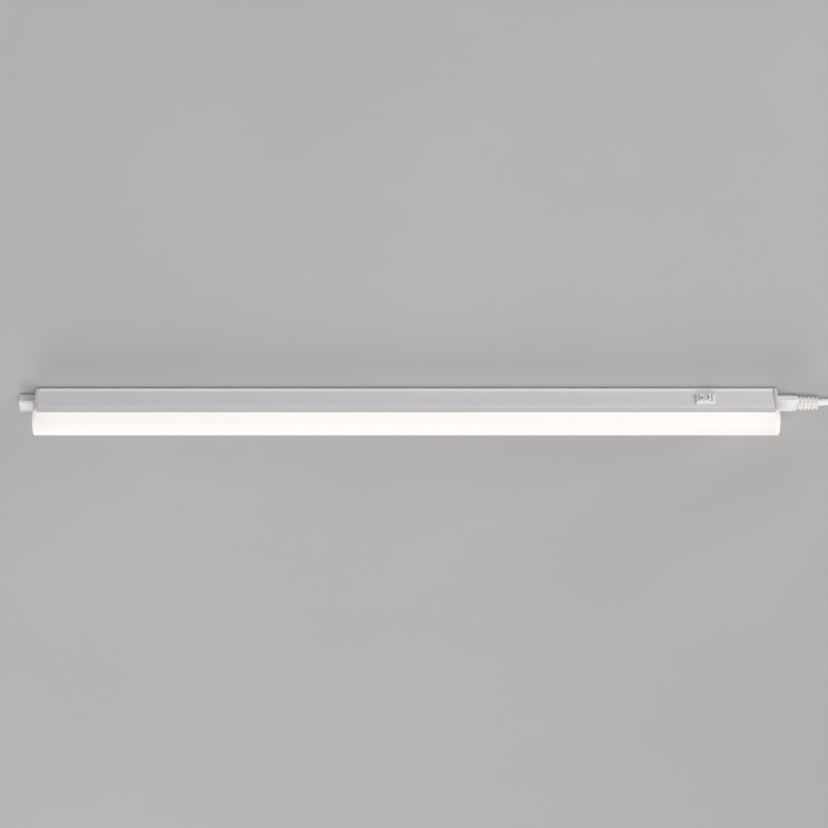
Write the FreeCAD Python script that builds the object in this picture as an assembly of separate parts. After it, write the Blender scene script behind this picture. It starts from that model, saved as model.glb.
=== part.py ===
import FreeCAD, Part
import math
import os

# A linkable linear LED batten that clips flush to a ceiling, in millimetres.
# X runs along the lamp, -Y is the switch side, +Z is up, and the ceiling is the plane z = 0.

# Lamp envelope and aluminium profile
overall_length = 573.0
body_width = 22.0
foot_width = 24.4
foot_lip = 1.0
foot_slope = 1.4
face_height = 14.2
taper_height = 3.9
taper_inset = 0.3
skirt_height = 3.1
lens_drop = 0.6
wall = 1.2
fit_gap = 0.1

# Channel in the back of the profile, and the ceiling clips that hold it
ceiling_gap = 1.0
channel_slot = 9.0
channel_lip = 0.9
channel_width = 12.8
channel_depth = 1.1
channel_web = 0.8
clip_from_end = 96.5
clip_length = 26.0
clip_width = 15.0
clip_sheet = 0.8
clip_leg_length = 20.0
clip_leg_gap = 0.3
clip_hook_gap = 0.5
clip_hook_room = 0.15
clip_hook_thickness = 0.7
clip_hole = 4.2

# LED board, its track and the web that carries them
web_thickness = 1.2
web_rise = 1.1
led_board_width = 16.0
led_board_thickness = 1.2
led_board_end_gap = 3.3
track_lip = 0.8
track_lip_width = 1.4
led_pitch = 10.0
led_length = 3.5
led_width = 2.8
led_height = 0.75

# Diffuser
diffuser_wall = 1.2
bead_depth = 0.5
bead_height = 0.8
bead_drop = 1.2

# End caps and their screws
cap_thickness = 3.2
cap_round = 2.2
lens_spigot_depth = 2.5
lens_spigot_gap = 0.3
port_bore = 2.5
port_wall = 0.8
screw_shank = 2.4
screw_length = 12.0
screw_head = 5.0
screw_head_height = 1.4
screw_hole_gap = 0.25

# Inlet pocket in each end cap, with its pins
pocket_drop = 0.15
pocket_wall = 0.75
pocket_width = 9.4
pocket_height = 3.6
pocket_depth = 9.0
pocket_floor = 1.2
pin_diameter = 1.6
pin_spacing = 4.8
pin_recess = 2.0
pin_tail = 4.0
pin_fit = 0.03

# Plug-in pieces at the two ends
nose_length = 8.2
nose_gap = 0.1
sleeve_wall = 0.24
sleeve_run_gap = 0.08
sleeve_length = 7.0
cover_length = 13.0
cover_width = 11.5
cover_height = 8.0
cover_round = 0.9
cover_groove = 0.5
cover_groove_inset = 1.2
plug_in_top = 2.8
connector_length = 16.8
connector_width = 12.4
connector_height = 5.6
connector_round = 0.7

# Strain relief on the supply lead
rib_count = 5
rib_pitch = 3.04
rib_width = 1.5
rib_radius_start = 5.4
rib_radius_end = 5.0
rib_depth = 1.4

# Rocker switch in the front face
switch_from_end = 56.3
switch_drop = 8.6
bezel_length = 15.2
bezel_height = 10.4
bezel_proud = 1.8
bezel_slope = 1.3
switch_length = 13.2
switch_height = 8.2
switch_depth = 12.5
switch_wall = 0.5
switch_end_wall = 1.4
switch_floor = 4.7
rocker_gap = 0.6
rocker_side_gap = 0.15
rocker_tilt = 9.0
rocker_body = 1.6
rocker_proud = 0.5
rocker_end_slope = 1.2
rocker_end_drop = 0.85
pivot_inset = 1.2
trunnion_radius = 0.8
trunnion_length = 0.45
trunnion_gap = 0.05
plunger_diameter = 2.0
plunger_wall = 0.6
plunger_reach = 6.4
spring_wire = 0.3
spring_turns = 3
lever_length = 9.0
lever_width = 3.0
lever_sheet = 0.5
lever_tilt = 7.0
lever_gap = 0.25
blade_width = 2.8
blade_sheet = 0.6
blade_tail = 4.5
blade_offset = 4.0

# Driver board and its components
driver_from_end = 96.5
driver_length = 130.0
driver_board_thickness = 1.2
driver_side_gap = 0.2
rail_drop = 4.85
rail_width = 1.2
rail_thickness = 0.75
film = 0.3
film_height = 1.8
film_inset = 0.3
resistor_offset = 112.0
resistor_length = 9.0
resistor_diameter = 3.4
film_capacitor_offset = 92.0
film_capacitor_size = (13.0, 6.0, 8.0)
bridge_offset = 80.0
bridge_size = (6.5, 8.3, 2.6)
capacitor_offset = 54.0
capacitor_length = 18.0
capacitor_diameter = 8.0
chip_offset = 42.0
chip_size = (5.0, 4.0, 1.6)
choke_offset = 18.0
choke_length = 14.0
choke_diameter = 8.0
choke_flange = 1.2

# Wires and the supply lead
wire_diameter = 1.4
wire_joint_gap = 0.1
wire_stub = 5.0
link_wire_straight = 8.0
link_wire_slope = 10.0
led_wire_inset = 6.0
led_wire_y = 5.0
board_wire_inset = 4.0
feed_wire_bend = (10.0, 1.0)
feed_wire_end = 12.0
live_wire_start = 10.0
live_wire_bend = (14.0, 3.0, 2.0)
live_wire_end = (2.0, 3.0)
neutral_wire_turn = 14.0
neutral_wire_y = 6.5
neutral_wire_far = (20.0, 7.4)
neutral_wire_near = (4.0, 7.0, 1.0)
neutral_wire_drop = 2.0
cord_diameter = 5.0
cord_bend_share = 0.45
lead_straight = 22.5
lead_first_bend = (23.0, 4.4)
lead_second_bend = (22.0, 8.8)
lead_into_coil = 24.0
coil_layers = 4
coil_turns = 9
coil_steps_per_layer = 10
coil_climb_turns = 0.5
coil_outer_radius = 35.0
coil_radial_pitch = 5.6
coil_layer_pitch = 5.6
coil_start_angle = 60.0
coil_tail = 30.0
tie_angle = 135.0
tie_width = 8.0
tie_sheet = 1.0
tie_gap = 0.4

# Two-pin mains plug
plug_neck_width = 10.0
plug_neck_length = 9.0
plug_shoulder_length = 15.0
plug_width = 35.3
plug_straight = 14.0
plug_thickness = 13.7
plug_round = 2.0
plug_pin_diameter = 4.0
plug_pin_length = 19.0
plug_pin_spacing = 18.6

# Levels and half widths that the pieces share
body_half = body_width / 2
chamber_half = body_half - wall
lens_radius = body_half - taper_inset
skirt_outer = lens_radius - diffuser_wall - fit_gap
skirt_inner = skirt_outer - wall
z_back = -ceiling_gap
z_lip = z_back - foot_lip
z_slope = z_lip - foot_slope
z_face = z_slope - face_height
z_taper = z_face - taper_height
z_rim = z_taper - skirt_height
z_lens = z_rim - lens_drop
z_channel_top = z_back - channel_lip
z_channel_floor = z_channel_top - channel_depth
z_roof = z_channel_floor - channel_web
z_web_bottom = z_taper + web_rise
z_web_top = z_web_bottom + web_thickness
z_track = z_web_bottom - led_board_thickness - fit_gap
z_rail = z_roof - rail_drop
z_pocket = z_roof - pocket_drop - pocket_wall - pocket_height / 2
z_driver_top = z_rail + driver_board_thickness
z_wire = z_roof - wire_diameter / 2 - fit_gap
x_end = overall_length / 2
x_cap = x_end - cap_thickness
x_pocket = x_end - pocket_depth
x_pin_tail = x_pocket - pocket_floor - pin_tail
port_radius = port_bore / 2 + port_wall
port_y = chamber_half - port_radius
port_z = z_web_top + port_radius
switch_x = x_end - switch_from_end
switch_z = z_slope - switch_drop
pivot_y = -body_half - bezel_proud + pivot_inset
connector_z = -plug_in_top - connector_height / 2
sleeve_inner = pin_diameter / 2 + sleeve_run_gap
sleeve_outer = sleeve_inner + sleeve_wall
clip_x = x_end - clip_from_end
driver_end = x_end - driver_from_end
driver_start = driver_end - driver_length


def vec(x, y, z):
    return FreeCAD.Vector(x, y, z)


def block(x0, x1, y0, y1, z0, z1):
    low = vec(min(x0, x1), min(y0, y1), min(z0, z1))
    return Part.makeBox(abs(x1 - x0), abs(y1 - y0), abs(z1 - z0), low)


def prism(points, x0, x1):
    """A bar along X with the given outline of (y, z) points."""
    outline = [vec(x0, y, z) for y, z in points]
    return Part.Face(Part.makePolygon(outline + outline[:1])).extrude(vec(x1 - x0, 0, 0))


def rod(x0, x1, y, z, radius):
    return Part.makeCylinder(radius, abs(x1 - x0), vec(min(x0, x1), y, z), vec(1, 0, 0))


def mirrored(half):
    """A closed symmetric outline from the points of its +Y side."""
    return half + [(-y, z) for y, z in reversed(half)]


def d_bar(half_width, z_top, z_centre, x0, x1):
    """A bar along X with straight sides and a half round bottom."""
    corners = [
        vec(x0, -half_width, z_centre),
        vec(x0, -half_width, z_top),
        vec(x0, half_width, z_top),
        vec(x0, half_width, z_centre),
    ]
    edges = [Part.LineSegment(a, b).toShape() for a, b in zip(corners, corners[1:])]
    bottom = vec(x0, 0, z_centre - half_width)
    edges.append(Part.Arc(corners[3], bottom, corners[0]).toShape())
    return Part.Face(Part.Wire(edges)).extrude(vec(x1 - x0, 0, 0))


def rounded(shape, radius, wanted):
    """The shape with the edges that the test picks rounded off."""
    return shape.makeFillet(radius, [edge for edge in shape.Edges if wanted(edge)])


def fused(shapes):
    return shapes[0].fuse(shapes[1:]).removeSplitter()


def mirrored_x(shape):
    return shape.mirror(vec(0, 0, 0), vec(1, 0, 0))


def save(name, shape):
    shape.exportStep(f"parts/{name}.step")


def bend_path(points):
    """Straight runs joined by tangent arcs, each as large as its two runs allow."""
    edges, radii, here = [], [], points[0]
    for before, corner, after in zip(points, points[1:], points[2:]):
        back, ahead = before - corner, after - corner
        turn = math.pi - back.getAngle(ahead)
        reach = cord_bend_share * min(back.Length, ahead.Length)
        back.normalize()
        ahead.normalize()
        radius = reach / math.tan(turn / 2)
        start, end = corner + back * reach, corner + ahead * reach
        inward = (back + ahead).normalize()
        middle = corner + inward * (radius / math.cos(turn / 2) - radius)
        edges.append(Part.LineSegment(here, start).toShape())
        edges.append(Part.Arc(start, middle, end).toShape())
        radii.append(radius)
        here = end
    edges.append(Part.LineSegment(here, points[-1]).toShape())
    return edges, radii


def swept(edges, diameter):
    """A round tube along a smooth run of edges."""
    path = Part.Wire(edges)
    first = edges[0]
    heading = first.tangentAt(first.FirstParameter)
    ring = Part.Circle(first.valueAt(first.FirstParameter), heading, diameter / 2).toShape()
    return path.makePipeShell([Part.Wire(ring)], True, False), path.Length


def cord_tube(name, points, diameter):
    edges, radii = bend_path(points)
    solid, length = swept(edges, diameter)
    share = solid.Volume / (math.pi * diameter**2 / 4 * length)
    shown = " ".join(f"{radius:.0f}" for radius in radii)
    print(f"{name}: length {length:.1f}, volume share {share:.4f}, radii {shown}")
    return solid


# Aluminium profile: foot, closed driver chamber, LED track and a skirt for the diffuser.
def make_profile():
    outline = mirrored(
        [
            (foot_width / 2, z_back),
            (foot_width / 2, z_lip),
            (body_half, z_slope),
            (body_half, z_face),
            (lens_radius, z_taper),
            (skirt_outer, z_taper),
            (skirt_outer, z_rim),
        ]
    )
    bar = prism(outline, -x_cap, x_cap)
    z_lip_bottom = z_track - track_lip
    hollows = [
        (channel_slot / 2, z_back, z_channel_top),
        (channel_width / 2, z_channel_top, z_channel_floor),
        (chamber_half, z_roof, z_web_top),
        (led_board_width / 2 + fit_gap, z_web_bottom, z_track),
        (skirt_inner - track_lip_width, z_track, z_lip_bottom),
        (skirt_inner, z_lip_bottom, z_rim),
    ]
    for half, top, bottom in hollows:
        bar = bar.cut(block(-x_cap, x_cap, -half, half, bottom, top))
    groove_top = z_taper - bead_drop + fit_gap
    groove_bottom = z_taper - bead_drop - bead_height - fit_gap
    for side in (-1, 1):
        y_wall = side * chamber_half
        y_rail = side * (chamber_half - rail_width)
        rail = block(-x_cap, x_cap, y_wall, y_rail, z_rail, z_rail - rail_thickness)
        boss = rod(-x_cap, x_cap, side * port_y, port_z, port_radius)
        corner = block(-x_cap, x_cap, side * port_y, y_wall, port_z, z_web_top)
        bore = rod(-x_cap, x_cap, side * port_y, port_z, port_bore / 2)
        bar = bar.fuse([rail, boss, corner]).cut(bore)
        groove_floor = side * (skirt_outer - bead_depth)
        y_skirt = side * skirt_outer
        bar = bar.cut(block(-x_cap, x_cap, y_skirt, groove_floor, groove_top, groove_bottom))
    window = block(
        switch_x - switch_length / 2 - fit_gap,
        switch_x + switch_length / 2 + fit_gap,
        -foot_width / 2,
        -port_y + port_radius,
        switch_z - switch_height / 2 - fit_gap,
        switch_z + switch_height / 2 + fit_gap,
    )
    led_x = driver_start + led_wire_inset
    for side in (-1, 1):
        foot = vec(led_x, side * led_wire_y, z_web_bottom)
        window = window.fuse(Part.makeCylinder(wire_diameter, web_thickness, foot))
    return bar.cut(window).removeSplitter()


# Opal diffuser: a half round trough whose skirt beads snap into the profile's grooves.
def make_diffuser():
    reach = x_cap - fit_gap
    inner = lens_radius - diffuser_wall
    z_top = z_taper - fit_gap
    shell = d_bar(lens_radius, z_top, z_lens, -reach, reach)
    shell = shell.cut(d_bar(inner, z_top, z_lens, -reach, reach))
    for side in (-1, 1):
        top = z_taper - bead_drop
        bead = block(-reach, reach, side * inner, side * (inner - bead_depth), top, top - bead_height)
        shell = shell.fuse(bead)
    return shell.removeSplitter()


# Right-hand end cap: plate, inlet pocket and a spigot inside the diffuser.
def make_cap():
    sides = [(foot_width / 2, z_back), (lens_radius, z_lens)]
    right_top, right_low, left_low, left_top = [vec(x_cap, y, z) for y, z in mirrored(sides)]
    bottom = vec(x_cap, 0, z_lens - lens_radius)
    edges = [
        Part.LineSegment(left_low, left_top).toShape(),
        Part.LineSegment(left_top, right_top).toShape(),
        Part.LineSegment(right_top, right_low).toShape(),
        Part.Arc(right_low, bottom, left_low).toShape(),
    ]
    plate = Part.Face(Part.Wire(edges)).extrude(vec(cap_thickness, 0, 0))
    plate = rounded(plate, cap_round, lambda edge: edge.BoundBox.XMin > x_end - fit_gap)
    spigot_radius = lens_radius - diffuser_wall - lens_spigot_gap
    spigot_x = x_cap - lens_spigot_depth
    spigot = d_bar(spigot_radius, z_lens + fit_gap, z_lens, spigot_x, x_cap)
    half_y = pocket_width / 2
    half_z = pocket_height / 2
    shell = block(
        x_pocket - pocket_floor,
        x_cap,
        -half_y - pocket_wall,
        half_y + pocket_wall,
        z_pocket - half_z - pocket_wall,
        z_pocket + half_z + pocket_wall,
    )
    cap = fused([plate, spigot, shell])
    cap = cap.cut(block(x_pocket, x_end, -half_y, half_y, z_pocket - half_z, z_pocket + half_z))
    for side in (-1, 1):
        pin_y = side * pin_spacing / 2
        pin_hole = rod(x_pocket - pocket_floor, x_pocket, pin_y, z_pocket, pin_diameter / 2 + pin_fit)
        hole = rod(x_cap, x_end, side * port_y, port_z, screw_shank / 2 + screw_hole_gap)
        sink_depth = screw_head_height + screw_hole_gap
        sink = rod(x_end - sink_depth, x_end, side * port_y, port_z, screw_head / 2 + screw_hole_gap)
        cap = cap.cut(fused([hole, sink])).cut(pin_hole)
    return cap


def make_cap_screws():
    seat = x_end - screw_head_height - screw_hole_gap
    screws = []
    for side in (-1, 1):
        shank = rod(seat - screw_length, seat, side * port_y, port_z, screw_shank / 2)
        head = rod(seat, seat + screw_head_height, side * port_y, port_z, screw_head / 2)
        slot = block(
            seat + screw_head_height / 2,
            seat + screw_head_height,
            side * port_y - screw_head / 2,
            side * port_y + screw_head / 2,
            port_z - screw_hole_gap,
            port_z + screw_hole_gap,
        )
        screws.append(shank.fuse(head).cut(slot))
    return screws


def make_pins():
    x_tip = x_end - pin_recess
    sides = (-pin_spacing / 2, pin_spacing / 2)
    return [rod(x_pin_tail, x_tip, y, z_pocket, pin_diameter / 2) for y in sides]


# Spring clip: a plate on the ceiling whose two legs hook behind the lips of the channel.
def make_clip(x):
    half_x, half_y = clip_length / 2, clip_width / 2
    plate = block(x - half_x, x + half_x, -half_y, half_y, 0, -clip_sheet)
    plate = plate.cut(Part.makeCylinder(clip_hole / 2, clip_sheet, vec(x, 0, -clip_sheet)))
    hook_top = z_channel_top - clip_hook_room
    hook_bottom = hook_top - clip_hook_thickness
    leg_outer = channel_slot / 2 - clip_leg_gap
    hook_outer = channel_width / 2 - clip_hook_gap
    x0 = x - clip_leg_length / 2
    x1 = x + clip_leg_length / 2
    pieces = [plate]
    for side in (-1, 1):
        y_leg = side * leg_outer
        pieces.append(block(x0, x1, y_leg, y_leg - side * clip_sheet, -clip_sheet, hook_bottom))
        pieces.append(block(x0, x1, y_leg, side * hook_outer, hook_top, hook_bottom))
    return fused(pieces)


def make_led_board():
    reach = x_cap - led_board_end_gap
    half = led_board_width / 2
    return block(-reach, reach, -half, half, z_track, z_track + led_board_thickness)


def make_leds():
    count = int((2 * x_cap - 2 * led_board_end_gap - led_length) / led_pitch)
    first = -led_pitch * (count - 1) / 2
    half_x, half_y = led_length / 2, led_width / 2
    chips = []
    for index in range(count):
        x = first + index * led_pitch
        chips.append(block(x - half_x, x + half_x, -half_y, half_y, z_track, z_track - led_height))
    return chips


# The nose that enters an inlet pocket, with a hole for each pin.
def make_nose():
    x0 = x_end - nose_length
    half_y = pocket_width / 2 - nose_gap
    half_z = pocket_height / 2 - nose_gap
    nose = block(x0, x_end + fit_gap, -half_y, half_y, z_pocket - half_z, z_pocket + half_z)
    for side in (-1, 1):
        nose = nose.cut(rod(x0, x_end, side * pin_spacing / 2, z_pocket, sleeve_outer + pin_fit))
    return nose


# Blind cover over the spare inlet: a grip block with a shallow line along its underside.
def make_cover():
    z_low = z_back - cover_height
    x0 = x_end + fit_gap
    x1 = x_end + cover_length
    grip = block(x0, x1, -cover_width / 2, cover_width / 2, z_back, z_low)
    grip = rounded(grip, cover_round, lambda edge: edge.BoundBox.XMax > x0 + fit_gap)
    for side in (-1, 1):
        y_line = side * (cover_width / 2 - cover_groove_inset)
        line = block(x0, x1, y_line, y_line - side * cover_groove, z_low, z_low + cover_groove)
        grip = grip.cut(line)
    return fused([grip, make_nose()])


# Supply connector: a moulded block with a nose that holds two contact sleeves.
def make_connector():
    x0 = x_end + fit_gap
    x1 = x_end + connector_length
    half_y = connector_width / 2
    half_z = connector_height / 2
    grip = block(x0, x1, -half_y, half_y, connector_z - half_z, connector_z + half_z)
    grip = rounded(grip, connector_round, lambda edge: edge.BoundBox.XMax > x0 + fit_gap)
    return fused([grip, make_nose()])


def make_sleeves():
    x0 = x_end - nose_length
    sleeves = []
    for side in (-1, 1):
        y = side * pin_spacing / 2
        tube = rod(x0, x0 + sleeve_length, y, z_pocket, sleeve_outer)
        sleeves.append(tube.cut(rod(x0, x0 + sleeve_length, y, z_pocket, sleeve_inner)))
    return sleeves


# Ribbed strain relief: rings that grow smaller away from the connector, on a slimmer core.
def make_strain_relief():
    x0 = x_end + connector_length
    pieces = []
    for index in range(rib_count):
        share = index / (rib_count - 1)
        radius = rib_radius_start + (rib_radius_end - rib_radius_start) * share
        x = x0 + index * rib_pitch
        pieces.append(rod(x, x + rib_pitch, 0, connector_z, radius - rib_depth))
        pieces.append(rod(x + rib_pitch - rib_width, x + rib_pitch, 0, connector_z, radius))
    return fused(pieces)


# Switch housing: a bezel on the face and a box through the window, open for the rocker.
def make_switch_body():
    y_face = -body_half
    y_front = y_face - bezel_proud
    y_rear = y_face + switch_depth
    y_floor = y_rear - switch_floor
    bezel = block(
        switch_x - bezel_length / 2,
        switch_x + bezel_length / 2,
        y_front,
        y_face,
        switch_z - bezel_height / 2,
        switch_z + bezel_height / 2,
    )
    front_edges = [edge for edge in bezel.Edges if edge.BoundBox.YMax < y_front + fit_gap]
    bezel = bezel.makeChamfer(bezel_slope, front_edges)
    case = block(
        switch_x - switch_length / 2,
        switch_x + switch_length / 2,
        y_face,
        y_rear,
        switch_z - switch_height / 2,
        switch_z + switch_height / 2,
    )
    half_x = switch_length / 2 - switch_end_wall
    half_z = switch_height / 2 - switch_wall
    body = fused([bezel, case])
    body = body.cut(block(switch_x - half_x, switch_x + half_x, y_front, y_floor,
                          switch_z - half_z, switch_z + half_z))
    reach = half_z + trunnion_length + trunnion_gap - rocker_side_gap
    low = vec(switch_x, pivot_y, switch_z - reach)
    body = body.cut(Part.makeCylinder(trunnion_radius + trunnion_gap, 2 * reach, low))
    for x in (switch_x, switch_x - blade_offset):
        slot = block(
            x - blade_sheet / 2 - pin_fit,
            x + blade_sheet / 2 + pin_fit,
            y_floor,
            y_rear,
            switch_z - blade_width / 2 - pin_fit,
            switch_z + blade_width / 2 + pin_fit,
        )
        body = body.cut(slot)
    return body


def tilted(shape, centre_y, angle):
    turned = shape.copy()
    turned.rotate(vec(switch_x, centre_y, switch_z), vec(0, 0, 1), angle)
    return turned


# Rocker with a dished face, two trunnions and a hollow post for the plunger.
def make_rocker():
    half_x = switch_length / 2 - switch_end_wall - rocker_gap
    half_z = switch_height / 2 - switch_wall - rocker_side_gap
    rise = half_x * math.tan(math.radians(rocker_tilt))
    y_dip = -body_half - bezel_proud - rocker_proud
    y_back = y_dip + rocker_body
    crest_x = half_x - rocker_end_slope
    y_crest = y_dip - rise
    points = [
        (-half_x, y_crest + rocker_end_drop),
        (-crest_x, y_crest),
        (0, y_dip),
        (crest_x, y_crest),
        (half_x, y_crest + rocker_end_drop),
        (half_x, y_dip + rise),
        (0, y_back + rise),
        (-half_x, y_dip + rise),
    ]
    outline = [vec(switch_x + x, y, switch_z - half_z) for x, y in points]
    paddle = Part.Face(Part.makePolygon(outline + outline[:1])).extrude(vec(0, 0, 2 * half_z))
    reach = half_z + trunnion_length
    trunnion = Part.makeCylinder(trunnion_radius, 2 * reach, vec(switch_x, pivot_y, switch_z - reach))
    post_radius = plunger_diameter / 2 + plunger_wall
    post_length = plunger_reach - plunger_diameter
    pivot = vec(switch_x, pivot_y, switch_z)
    post = Part.makeCylinder(post_radius, post_length, pivot, vec(0, 1, 0))
    bore = Part.makeCylinder(
        plunger_diameter / 2 + trunnion_gap,
        post_length - trunnion_radius,
        pivot + vec(0, trunnion_radius, 0),
        vec(0, 1, 0),
    )
    return tilted(fused([paddle, trunnion, post]).cut(bore), pivot_y, -rocker_tilt)


def make_plunger():
    radius = plunger_diameter / 2
    tip_y = pivot_y + plunger_reach - radius
    start_y = pivot_y + trunnion_radius + plunger_diameter
    start = vec(switch_x, start_y, switch_z)
    stem = Part.makeCylinder(radius, tip_y - start_y, start, vec(0, 1, 0))
    tip = Part.makeSphere(radius, vec(switch_x, tip_y, switch_z))
    return tilted(fused([stem, tip]), pivot_y, -rocker_tilt)


# Coil spring between the post's floor and the plunger.
def make_spring():
    room = plunger_diameter - 2 * fit_gap
    helix_radius = (room - spring_wire) / 2
    y0 = pivot_y + trunnion_radius + spring_wire / 2 + fit_gap
    travel = room - spring_wire - fit_gap
    helix = Part.makeHelix(travel / spring_turns, travel, helix_radius)
    ring = Part.Circle(vec(helix_radius, 0, 0), vec(0, 1, 0), spring_wire / 2).toShape()
    solid = Part.Wire(helix.Edges).makePipeShell([Part.Wire(ring)], True, True)
    solid.rotate(vec(0, 0, 0), vec(1, 0, 0), -90)
    solid.translate(vec(switch_x, y0, switch_z))
    return tilted(solid, pivot_y, -rocker_tilt)


# See-saw contact and the two blades that it joins.
def lever_centre():
    return pivot_y + plunger_reach + lever_gap + lever_sheet / 2


def make_lever():
    y = lever_centre()
    strip = block(
        switch_x - lever_length / 2,
        switch_x + lever_length / 2,
        y - lever_sheet / 2,
        y + lever_sheet / 2,
        switch_z - lever_width / 2,
        switch_z + lever_width / 2,
    )
    return tilted(strip, y, lever_tilt)


def make_blades():
    y_under = lever_centre() + lever_sheet / 2
    y_contact = y_under + blade_offset * math.sin(math.radians(lever_tilt))
    y_end = -body_half + switch_depth + blade_tail
    blades = []
    for x, y_top in ((switch_x, y_under), (switch_x - blade_offset, y_contact)):
        blades.append(
            block(
                x - blade_sheet / 2,
                x + blade_sheet / 2,
                y_top + fit_gap,
                y_end,
                switch_z - blade_width / 2,
                switch_z + blade_width / 2,
            )
        )
    return blades


# Driver: board on the profile's rails, an insulating film over it and components below.
def make_driver_board():
    half = chamber_half - driver_side_gap
    return block(driver_start, driver_end, -half, half, z_rail, z_driver_top)


def make_film():
    half = chamber_half - driver_side_gap - film_inset
    z_film = z_driver_top + film_height
    inner = half - film
    hood = block(driver_start, driver_end, -half, half, z_driver_top, z_film)
    return hood.cut(block(driver_start, driver_end, -inner, inner, z_driver_top, z_film - film))


def component(offset, length, width, height):
    """A box under the driver board, at an offset from the board's left end."""
    x = driver_start + offset
    return block(x, x + length, -width / 2, width / 2, z_rail, z_rail - height)


def make_capacitor():
    x = driver_start + capacitor_offset
    return rod(x, x + capacitor_length, 0, z_rail - capacitor_diameter / 2, capacitor_diameter / 2)


def make_fuse_resistor():
    x = driver_start + resistor_offset
    return rod(x, x + resistor_length, 0, z_rail - resistor_diameter / 2, resistor_diameter / 2)


# Choke: a waisted bobbin with flanges at both ends.
def make_choke():
    x = driver_start + choke_offset
    z = z_rail - choke_diameter / 2
    ends = [
        rod(x, x + choke_flange, 0, z, choke_diameter / 2),
        rod(x + choke_length - choke_flange, x + choke_length, 0, z, choke_diameter / 2),
    ]
    winding = rod(x, x + choke_length, 0, z, choke_diameter / 2 - choke_flange)
    return fused([winding] + ends)


# Supply lead: free run, coil of the spare length, tie and mains plug.
coil_half_depth = (coil_layers - 1) * coil_layer_pitch / 2
lead_points = [vec(x_end + connector_length + rib_count * rib_pitch, 0, connector_z)]
lead_points.append(lead_points[-1] + vec(lead_straight, 0, 0))
for run, drop in (lead_first_bend, lead_second_bend):
    lead_points.append(lead_points[-1] + vec(run, -coil_half_depth / 2, -drop))
coil_heading = math.radians(coil_start_angle)
coil_direction = vec(math.sin(coil_heading), 0, -math.cos(coil_heading))
coil_join = lead_points[-1] + coil_direction * lead_into_coil
coil_first = coil_join + coil_direction * cord_diameter
coil_radial = vec(math.cos(coil_heading), 0, math.sin(coil_heading))
coil_centre = coil_first - coil_radial * coil_outer_radius
layer_turns = (coil_turns + coil_start_angle / 360) / coil_layers
coil_inner_radius = coil_outer_radius - layer_turns * coil_radial_pitch


def coil_point(turns):
    """Point of the coil after some turns: in and out by layers, climbing at each reversal."""
    passed = turns / layer_turns
    layer = min(int(passed), coil_layers - 1)
    along = passed - layer
    inward = along if layer % 2 == 0 else 1 - along
    radius = coil_outer_radius + (coil_inner_radius - coil_outer_radius) * inward
    height = 0.0
    for reversal in range(1, coil_layers):
        climb = (turns - reversal * layer_turns) / coil_climb_turns + 0.5
        climb = min(max(climb, 0.0), 1.0)
        height += climb * climb * (3 - 2 * climb) * coil_layer_pitch
    angle = coil_heading - 2 * math.pi * turns
    return coil_centre + vec(radius * math.cos(angle), height, radius * math.sin(angle))


def biarc(start, leaving, end, arriving):
    """Two arcs that leave one point and reach another in the given directions."""
    gap = end - start
    both = leaving + arriving
    square = 2 * (leaving.dot(arriving) - 1)
    linear = -2 * gap.dot(both)
    reach = (-linear - math.sqrt(linear**2 - 4 * square * gap.dot(gap))) / (2 * square)
    first, second = start + leaving * reach, end - arriving * reach
    joint = (first + second) * 0.5
    edges = []
    for a, corner, b in ((start, first, joint), (joint, second, end)):
        spread = (a - corner).getAngle(b - corner) / 2
        inward = ((a - corner).normalize() + (b - corner).normalize()).normalize()
        away = reach * math.tan(spread)
        centre_gap = reach / math.cos(spread)
        edges.append(Part.Arc(a, corner + inward * (centre_gap - away), b).toShape())
    return edges


def make_coil():
    steps = coil_layers * coil_steps_per_layer
    small = 1e-4
    spots, headings = [], []
    for index in range(steps + 1):
        turns = index * layer_turns / coil_steps_per_layer
        spots.append(coil_point(turns))
        headings.append((coil_point(turns + small) - coil_point(turns - small)).normalize())
    headings[0] = coil_direction
    headings[-1] = vec(0, 0, -1)
    edges = [Part.LineSegment(coil_join, spots[0]).toShape()]
    for index in range(steps):
        edges += biarc(spots[index], headings[index], spots[index + 1], headings[index + 1])
    edges.append(Part.LineSegment(spots[-1], coil_end).toShape())
    solid, length = swept(edges, cord_diameter)
    share = solid.Volume / (math.pi * cord_diameter**2 / 4 * length)
    print(f"coil: length {length:.1f}, volume share {share:.4f}, least gap {self_gap(edges):.2f}")
    return solid


def self_gap(edges):
    """Least clear distance between stretches of the coil that aren't neighbours along it."""
    samples, run = [], 0.0
    for edge in edges:
        count = max(int(edge.Length / 2), 1)
        for point in edge.discretize(Number=count + 1)[:-1]:
            samples.append((run, point))
            run += edge.Length / count
    least = coil_outer_radius
    for index, (along, point) in enumerate(samples):
        for other_along, other in samples[index + 1:]:
            if other_along - along > 6 * cord_diameter:
                least = min(least, point.distanceToPoint(other))
    return least - cord_diameter


coil_last = coil_point(coil_layers * layer_turns)
coil_end = coil_last - vec(0, 0, coil_tail)


# Strap round the bundle of turns.
def make_tie():
    mid_y = coil_centre.y + coil_half_depth
    half_y = coil_half_depth + cord_diameter / 2 + tie_gap
    bundle_inner = coil_inner_radius - cord_diameter / 2
    inner = math.sqrt(bundle_inner**2 - tie_width**2 / 4) - tie_gap
    outer = coil_outer_radius + cord_diameter / 2 + tie_gap
    half_x = tie_width / 2
    strap = block(-half_x, half_x, mid_y - half_y - tie_sheet, mid_y + half_y + tie_sheet,
                  inner - tie_sheet, outer + tie_sheet)
    strap = rounded(strap, tie_sheet, lambda edge: edge.BoundBox.XLength > tie_width / 2)
    strap = strap.cut(block(-half_x, half_x, mid_y - half_y, mid_y + half_y, inner, outer))
    strap.rotate(vec(0, 0, 0), vec(0, 1, 0), 90 - tie_angle)
    strap.translate(vec(coil_centre.x, 0, coil_centre.z))
    return strap


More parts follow.
